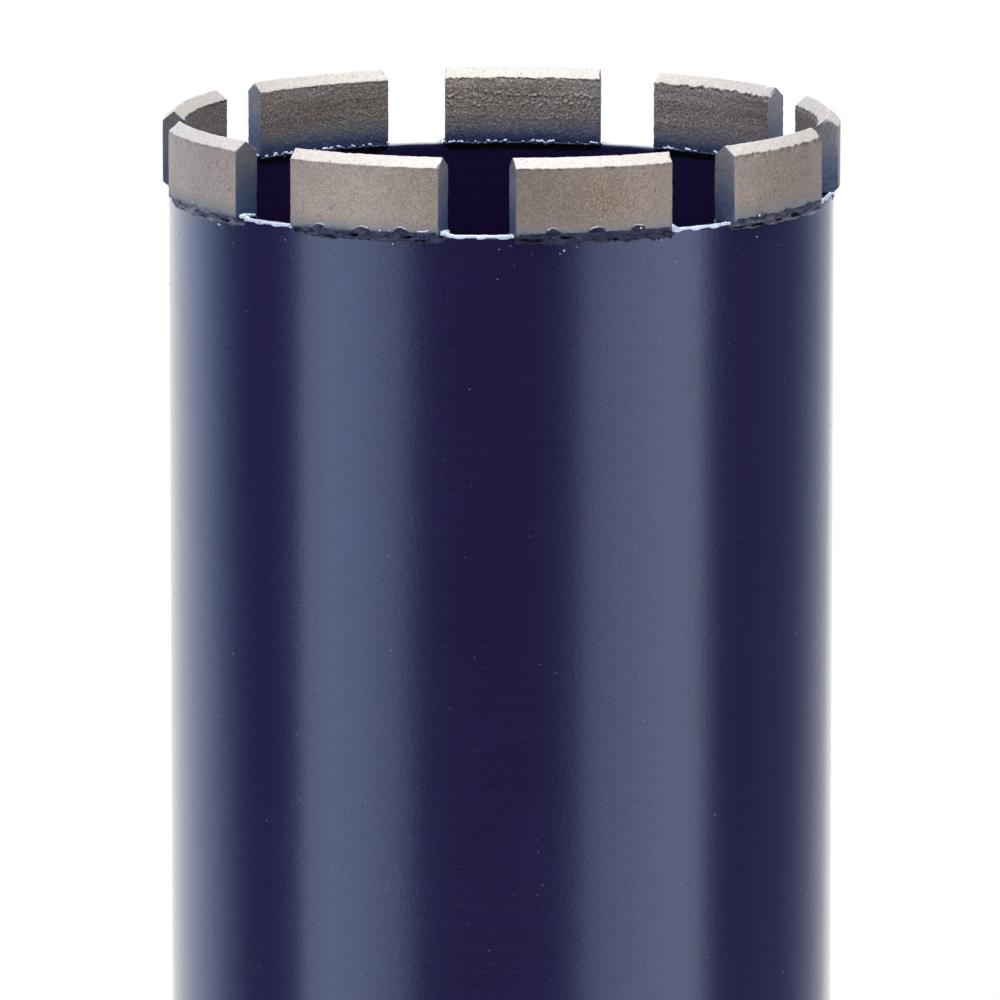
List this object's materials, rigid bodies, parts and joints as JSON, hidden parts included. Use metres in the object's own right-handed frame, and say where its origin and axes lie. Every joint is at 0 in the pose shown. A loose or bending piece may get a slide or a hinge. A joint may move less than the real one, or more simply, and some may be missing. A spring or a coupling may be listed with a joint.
{
  "type": "diamond core bit",
  "caption": "Wet diamond core bit: a thin painted steel barrel with brazed diamond segments on its open rim and a threaded hub on its closed end, for drilling round holes in concrete.",
  "frame": {"origin": "centre of the hub's seat face, on the axis of the barrel, where the bit stands", "axes": "+Z along the barrel from the hub to the crown; segment 1 is centred on -Y, and +X is to its right seen from outside"},
  "size_m": [0.1034, 0.1028, 0.5016],
  "materials": {
    "barrel_paint": "gloss navy paint",
    "sintered_segment": "sintered metal, matt and finely grained",
    "painted_braze": "lumpy braze under thin paint",
    "hub_steel": "turned and milled steel, lightly oiled"
  },
  "bodies": {
    "root": {"barrel": "barrel_paint", "end_plate": "barrel_paint", "hub_weld": "barrel_paint", "hub": "hub_steel", "segment_1": "sintered_segment", "segment_2": "sintered_segment", "segment_3": "sintered_segment", "segment_4": "sintered_segment", "segment_5": "sintered_segment", "segment_6": "sintered_segment", "segment_7": "sintered_segment", "segment_8": "sintered_segment", "segment_9": "sintered_segment", "braze_1": "painted_braze", "braze_2": "painted_braze", "braze_3": "painted_braze", "braze_4": "painted_braze", "braze_5": "painted_braze", "braze_6": "painted_braze", "braze_7": "painted_braze", "braze_8": "painted_braze", "braze_9": "painted_braze"}
  },
  "joints": []
}
